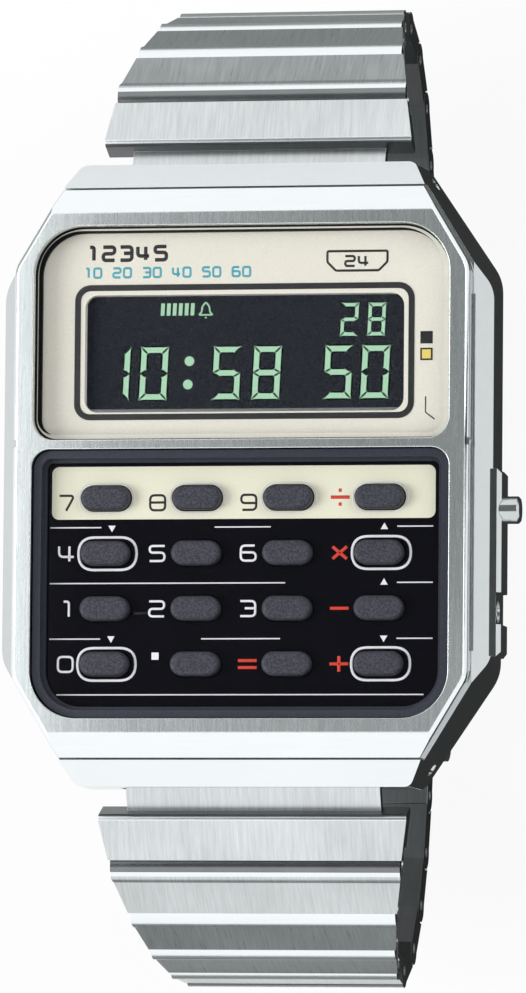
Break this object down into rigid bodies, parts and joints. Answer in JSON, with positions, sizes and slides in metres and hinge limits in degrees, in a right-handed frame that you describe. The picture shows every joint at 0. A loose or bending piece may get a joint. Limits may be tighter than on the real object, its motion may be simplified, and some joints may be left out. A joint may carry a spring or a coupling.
{
  "type": "calculator watch",
  "caption": "Octagonal steel wristwatch with a digital display over a calculator keypad, side pushers and a closed link bracelet with a fold-over clasp.",
  "frame": {"origin": "centre of the case back's outer face", "axes": "+Z leaves the dial, +Y points to 12 o'clock, +X points to the pushers at 3 o'clock; the closed bracelet hangs below the case"},
  "size_m": [0.0362, 0.07, 0.0396],
  "materials": {
    "case_steel": "polished",
    "bezel_steel": "satin",
    "crystal": "polished",
    "gasket_rubber": "matte",
    "dial_print": "matte",
    "display_glass": "gloss",
    "keypad_print": "satin",
    "mat_rubber": "matte",
    "board": "satin",
    "frame_resin": "matte",
    "cell_steel": "satin",
    "back_steel": "brushed",
    "pusher_steel": "polished",
    "key_resin": "matte",
    "link_steel": "brushed",
    "clasp_steel": "brushed"
  },
  "bodies": {
    "case": {"case_body": "case_steel", "bezel": "bezel_steel", "display_crystal": "crystal", "crystal_gasket": "gasket_rubber", "dial_plate": "dial_print", "lcd_panel": "display_glass", "keypad_plate": "keypad_print", "key_mat": "mat_rubber", "circuit_board": "board", "module_frame": "frame_resin", "battery_cell": "cell_steel", "battery_clip": "cell_steel", "elastomer_strips": "mat_rubber", "case_back": "back_steel", "back_gasket": "gasket_rubber", "back_screws": "cell_steel", "spring_bars": "cell_steel", "pusher_springs": "cell_steel"},
    "key_seven": {"key_seven": "key_resin"},
    "key_eight": {"key_eight": "key_resin"},
    "key_nine": {"key_nine": "key_resin"},
    "key_divide": {"key_divide": "key_resin"},
    "key_four": {"key_four": "key_resin"},
    "key_five": {"key_five": "key_resin"},
    "key_six": {"key_six": "key_resin"},
    "key_multiply": {"key_multiply": "key_resin"},
    "key_one": {"key_one": "key_resin"},
    "key_two": {"key_two": "key_resin"},
    "key_three": {"key_three": "key_resin"},
    "key_minus": {"key_minus": "key_resin"},
    "key_zero": {"key_zero": "key_resin"},
    "key_point": {"key_point": "key_resin"},
    "key_equals": {"key_equals": "key_resin"},
    "key_plus": {"key_plus": "key_resin"},
    "mode_pusher": {"mode_pusher": "pusher_steel"},
    "adjust_pusher": {"adjust_pusher": "pusher_steel"},
    "upper_link_1": {"upper_link_1": "link_steel"},
    "upper_link_2": {"upper_link_2": "link_steel"},
    "upper_link_3": {"upper_link_3": "link_steel"},
    "upper_link_4": {"upper_link_4": "link_steel"},
    "upper_link_5": {"upper_link_5": "link_steel"},
    "upper_link_6": {"upper_link_6": "link_steel"},
    "upper_link_7": {"upper_link_7": "link_steel"},
    "upper_link_8": {"upper_link_8": "link_steel"},
    "upper_link_9": {"upper_link_9": "link_steel"},
    "upper_link_10": {"upper_link_10": "link_steel"},
    "lower_link_1": {"lower_link_1": "link_steel"},
    "lower_link_2": {"lower_link_2": "link_steel"},
    "lower_link_3": {"lower_link_3": "link_steel"},
    "lower_link_4": {"lower_link_4": "link_steel"},
    "lower_link_5": {"lower_link_5": "link_steel"},
    "lower_link_6": {"lower_link_6": "link_steel"},
    "lower_link_7": {"lower_link_7": "link_steel"},
    "lower_link_8": {"lower_link_8": "link_steel"},
    "lower_link_9": {"lower_link_9": "link_steel"},
    "lower_link_10": {"lower_link_10": "link_steel"},
    "clasp_leaf": {"clasp_leaf": "clasp_steel"},
    "clasp_cover": {"clasp_cover": "clasp_steel", "clamped_links": "link_steel"},
    "clasp_lock": {"clasp_lock": "clasp_steel"}
  },
  "joints": [
    {"name": "press_seven", "type": "slide", "parent": "case", "child": "key_seven", "axis": [0, 0, -1], "range_m": [0, 0.0003], "stiffness_N_per_m": 1500},
    {"name": "press_eight", "type": "slide", "parent": "case", "child": "key_eight", "axis": [0, 0, -1], "range_m": [0, 0.0003], "stiffness_N_per_m": 1500},
    {"name": "press_nine", "type": "slide", "parent": "case", "child": "key_nine", "axis": [0, 0, -1], "range_m": [0, 0.0003], "stiffness_N_per_m": 1500},
    {"name": "press_divide", "type": "slide", "parent": "case", "child": "key_divide", "axis": [0, 0, -1], "range_m": [0, 0.0003], "stiffness_N_per_m": 1500},
    {"name": "press_four", "type": "slide", "parent": "case", "child": "key_four", "axis": [0, 0, -1], "range_m": [0, 0.0003], "stiffness_N_per_m": 1500},
    {"name": "press_five", "type": "slide", "parent": "case", "child": "key_five", "axis": [0, 0, -1], "range_m": [0, 0.0003], "stiffness_N_per_m": 1500},
    {"name": "press_six", "type": "slide", "parent": "case", "child": "key_six", "axis": [0, 0, -1], "range_m": [0, 0.0003], "stiffness_N_per_m": 1500},
    {"name": "press_multiply", "type": "slide", "parent": "case", "child": "key_multiply", "axis": [0, 0, -1], "range_m": [0, 0.0003], "stiffness_N_per_m": 1500},
    {"name": "press_one", "type": "slide", "parent": "case", "child": "key_one", "axis": [0, 0, -1], "range_m": [0, 0.0003], "stiffness_N_per_m": 1500},
    {"name": "press_two", "type": "slide", "parent": "case", "child": "key_two", "axis": [0, 0, -1], "range_m": [0, 0.0003], "stiffness_N_per_m": 1500},
    {"name": "press_three", "type": "slide", "parent": "case", "child": "key_three", "axis": [0, 0, -1], "range_m": [0, 0.0003], "stiffness_N_per_m": 1500},
    {"name": "press_minus", "type": "slide", "parent": "case", "child": "key_minus", "axis": [0, 0, -1], "range_m": [0, 0.0003], "stiffness_N_per_m": 1500},
    {"name": "press_zero", "type": "slide", "parent": "case", "child": "key_zero", "axis": [0, 0, -1], "range_m": [0, 0.0003], "stiffness_N_per_m": 1500},
    {"name": "press_point", "type": "slide", "parent": "case", "child": "key_point", "axis": [0, 0, -1], "range_m": [0, 0.0003], "stiffness_N_per_m": 1500},
    {"name": "press_equals", "type": "slide", "parent": "case", "child": "key_equals", "axis": [0, 0, -1], "range_m": [0, 0.0003], "stiffness_N_per_m": 1500},
    {"name": "press_plus", "type": "slide", "parent": "case", "child": "key_plus", "axis": [0, 0, -1], "range_m": [0, 0.0003], "stiffness_N_per_m": 1500},
    {"name": "press_mode", "type": "slide", "parent": "case", "child": "mode_pusher", "axis": [-1, 0, 0], "range_m": [0, 0.0008], "stiffness_N_per_m": 1200, "deforming": ["pusher_springs"]},
    {"name": "press_adjust", "type": "slide", "parent": "case", "child": "adjust_pusher", "axis": [-1, 0, 0], "range_m": [0, 0.0004], "stiffness_N_per_m": 1200, "deforming": ["pusher_springs"]},
    {"name": "upper_hinge_1", "type": "hinge", "parent": "case", "child": "upper_link_1", "pos_m": [0, 0.0203, 0.0026], "axis": [1, 0, 0], "range_deg": [0, 22]},
    {"name": "upper_hinge_2", "type": "hinge", "parent": "upper_link_1", "child": "upper_link_2", "pos_m": [0, 0.02688, -0.00006], "axis": [1, 0, 0], "range_deg": [0, 25]},
    {"name": "upper_hinge_3", "type": "hinge", "parent": "upper_link_2", "child": "upper_link_3", "pos_m": [0, 0.02988, -0.00328], "axis": [1, 0, 0], "range_deg": [0, 14]},
    {"name": "upper_hinge_4", "type": "hinge", "parent": "upper_link_3", "child": "upper_link_4", "pos_m": [0, 0.03202, -0.00713], "axis": [1, 0, 0], "range_deg": [0, 12]},
    {"name": "upper_hinge_5", "type": "hinge", "parent": "upper_link_4", "child": "upper_link_5", "pos_m": [0, 0.0333, -0.01133], "axis": [1, 0, 0], "range_deg": [0, 11]},
    {"name": "upper_hinge_6", "type": "hinge", "parent": "upper_link_5", "child": "upper_link_6", "pos_m": [0, 0.03376, -0.01571], "axis": [1, 0, 0], "range_deg": [0, 29]},
    {"name": "upper_hinge_7", "type": "hinge", "parent": "upper_link_6", "child": "upper_link_7", "pos_m": [0, 0.03204, -0.01976], "axis": [1, 0, 0], "range_deg": [0, 23]},
    {"name": "upper_hinge_8", "type": "hinge", "parent": "upper_link_7", "child": "upper_link_8", "pos_m": [0, 0.02888, -0.02282], "axis": [1, 0, 0], "range_deg": [0, 16]},
    {"name": "upper_hinge_9", "type": "hinge", "parent": "upper_link_8", "child": "upper_link_9", "pos_m": [0, 0.02499, -0.02488], "axis": [1, 0, 0], "range_deg": [0, 10]},
    {"name": "upper_hinge_10", "type": "hinge", "parent": "upper_link_9", "child": "upper_link_10", "pos_m": [0, 0.02081, -0.02624], "axis": [1, 0, 0], "range_deg": [0, 6]},
    {"name": "lower_hinge_1", "type": "hinge", "parent": "case", "child": "lower_link_1", "pos_m": [0, -0.0203, 0.0026], "axis": [-1, 0, 0], "range_deg": [0, 22]},
    {"name": "lower_hinge_2", "type": "hinge", "parent": "lower_link_1", "child": "lower_link_2", "pos_m": [0, -0.02688, -0.00006], "axis": [-1, 0, 0], "range_deg": [0, 25]},
    {"name": "lower_hinge_3", "type": "hinge", "parent": "lower_link_2", "child": "lower_link_3", "pos_m": [0, -0.02988, -0.00328], "axis": [-1, 0, 0], "range_deg": [0, 14]},
    {"name": "lower_hinge_4", "type": "hinge", "parent": "lower_link_3", "child": "lower_link_4", "pos_m": [0, -0.03202, -0.00713], "axis": [-1, 0, 0], "range_deg": [0, 12]},
    {"name": "lower_hinge_5", "type": "hinge", "parent": "lower_link_4", "child": "lower_link_5", "pos_m": [0, -0.0333, -0.01133], "axis": [-1, 0, 0], "range_deg": [0, 11]},
    {"name": "lower_hinge_6", "type": "hinge", "parent": "lower_link_5", "child": "lower_link_6", "pos_m": [0, -0.03376, -0.01571], "axis": [-1, 0, 0], "range_deg": [0, 29]},
    {"name": "lower_hinge_7", "type": "hinge", "parent": "lower_link_6", "child": "lower_link_7", "pos_m": [0, -0.03204, -0.01976], "axis": [-1, 0, 0], "range_deg": [0, 23]},
    {"name": "lower_hinge_8", "type": "hinge", "parent": "lower_link_7", "child": "lower_link_8", "pos_m": [0, -0.02888, -0.02282], "axis": [-1, 0, 0], "range_deg": [0, 16]},
    {"name": "lower_hinge_9", "type": "hinge", "parent": "lower_link_8", "child": "lower_link_9", "pos_m": [0, -0.02499, -0.02488], "axis": [-1, 0, 0], "range_deg": [0, 10]},
    {"name": "lower_hinge_10", "type": "hinge", "parent": "lower_link_9", "child": "lower_link_10", "pos_m": [0, -0.02081, -0.02624], "axis": [-1, 0, 0], "range_deg": [0, 6]},
    {"name": "leaf_hinge", "type": "hinge", "parent": "upper_link_10", "child": "clasp_leaf", "pos_m": [0, 0.01651, -0.02716], "axis": [1, 0, 0], "range_deg": [0, 20]},
    {"name": "cover_hinge", "type": "hinge", "parent": "clasp_leaf", "child": "clasp_cover", "pos_m": [0, -0.01651, -0.02716], "axis": [-1, 0, 0], "range_deg": [0, 100]},
    {"name": "lock_hinge", "type": "hinge", "parent": "clasp_cover", "child": "clasp_lock", "pos_m": [0, -0.01371, -0.03018], "axis": [-1, 0, 0], "range_deg": [0, 75]}
  ]
}
